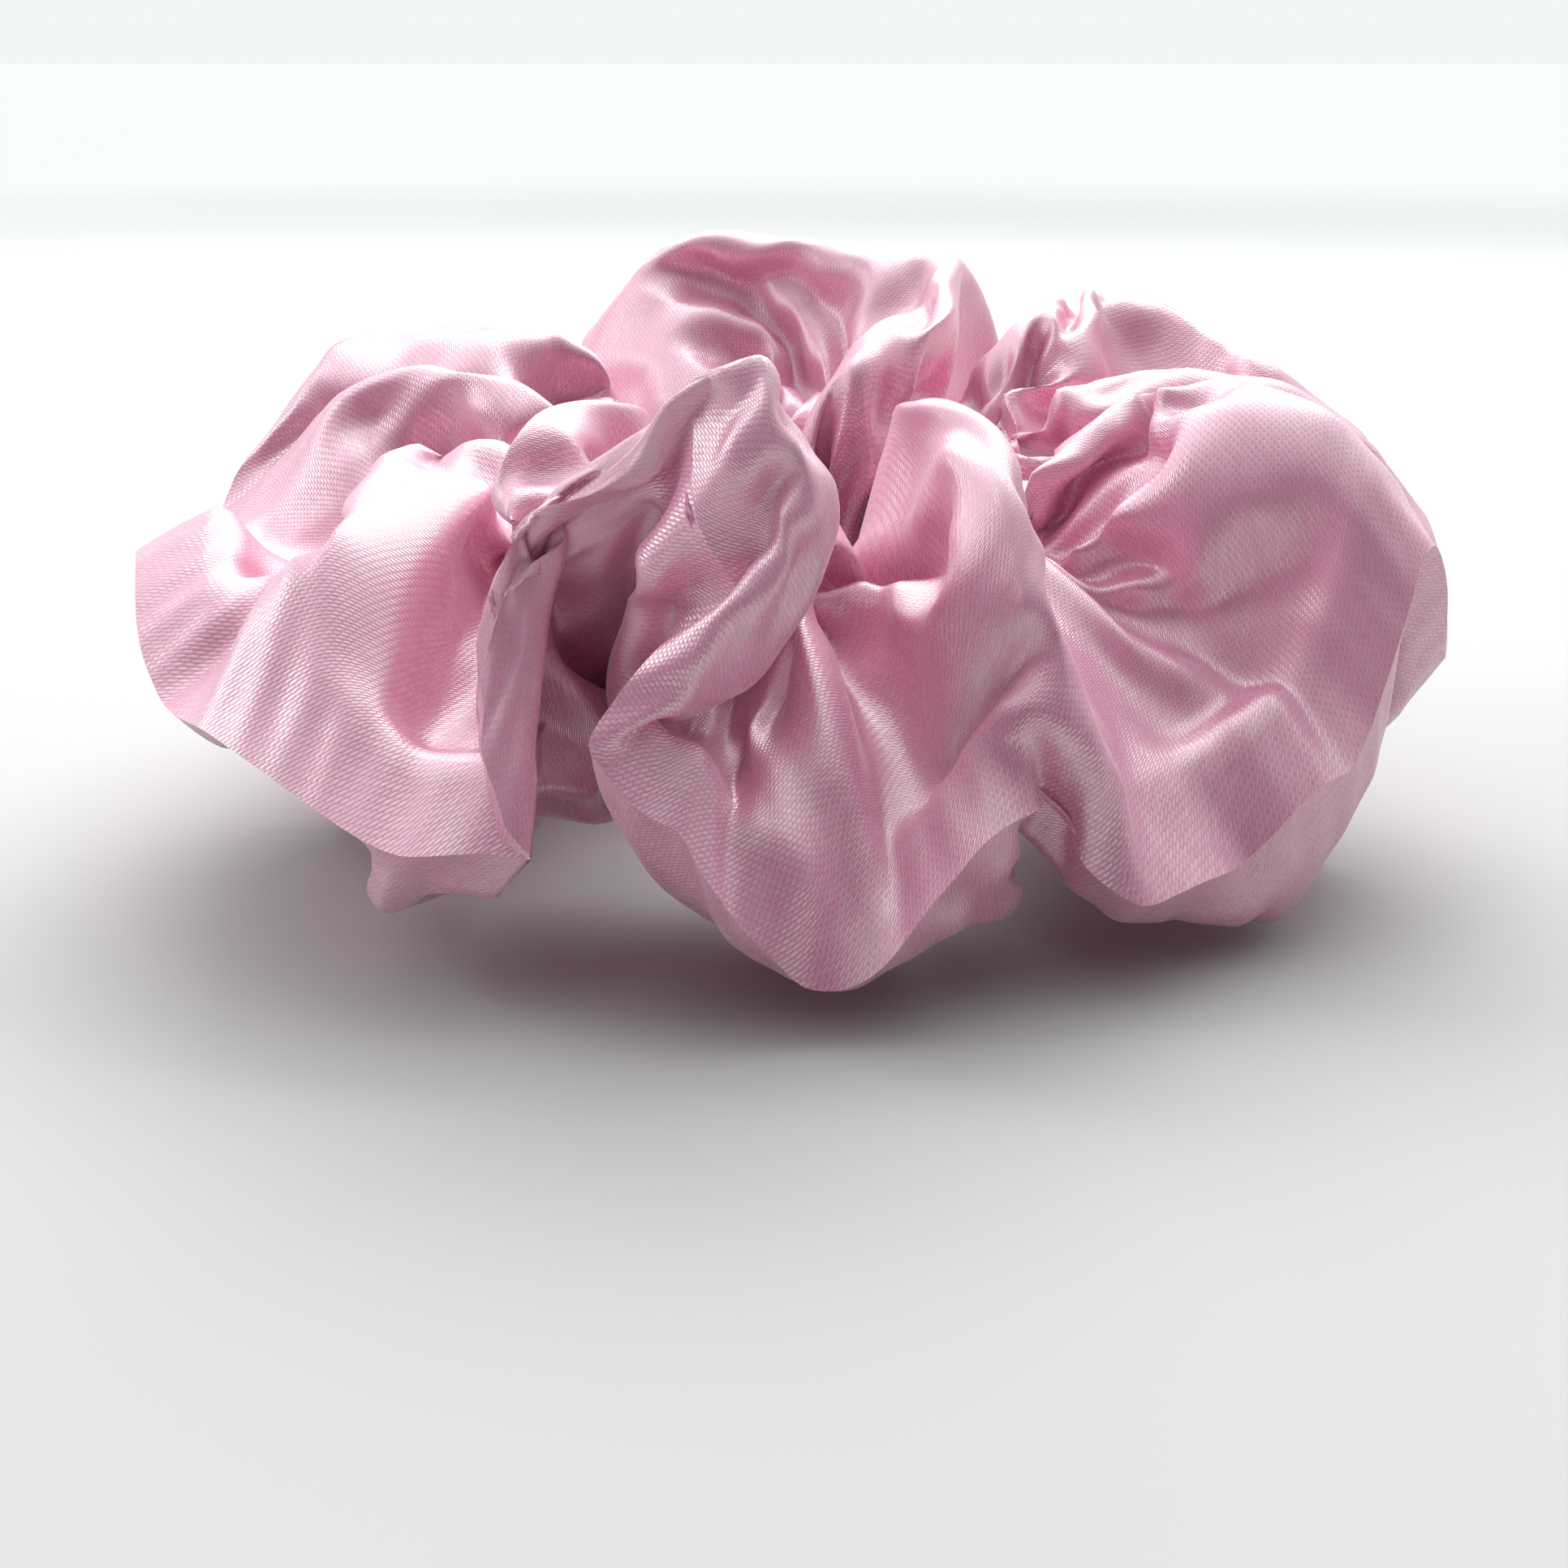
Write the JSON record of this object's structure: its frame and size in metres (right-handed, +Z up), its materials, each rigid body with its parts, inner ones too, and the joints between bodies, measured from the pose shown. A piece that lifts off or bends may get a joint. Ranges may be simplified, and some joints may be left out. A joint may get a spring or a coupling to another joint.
{
  "type": "hair scrunchie",
  "caption": "Gathered satin hair scrunchie: a puffed, hollow fabric ring over a loop of flat elastic, with a centre hole for the hair and lockstitched seams.",
  "frame": {"origin": "under the middle of the centre hole, on the surface that the scrunchie lies on", "axes": "+Z up, along the way that hair goes through; +Y towards the closing seam at the rear; +X to the right seen from the front"},
  "size_m": [0.1008, 0.1029, 0.046],
  "materials": {
    "pink_satin": "light pink charmeuse satin, glossy along the floats, fine twill-like weave",
    "white_elastic": "off-white braided elastic, matt",
    "pink_thread": "pink polyester sewing thread"
  },
  "bodies": {
    "front_span": {"satin_sleeve": "pink_satin", "side_seam_needle_thread": "pink_thread", "side_seam_bobbin_thread": "pink_thread"},
    "rear_span": {"elastic_band": "white_elastic", "elastic_tack_needle_thread": "pink_thread", "elastic_tack_bobbin_thread": "pink_thread", "cross_seam_needle_thread": "pink_thread", "cross_seam_bobbin_thread": "pink_thread", "closing_seam_needle_thread": "pink_thread", "closing_seam_bobbin_thread": "pink_thread"}
  },
  "joints": [
    {"name": "elastic_stretch", "type": "slide", "parent": "front_span", "child": "rear_span", "axis": [0, 1, 0], "range_m": [0, 0.05], "stiffness_N_per_m": 60, "deforming": ["satin_sleeve", "side_seam_needle_thread", "side_seam_bobbin_thread", "elastic_band"]}
  ]
}
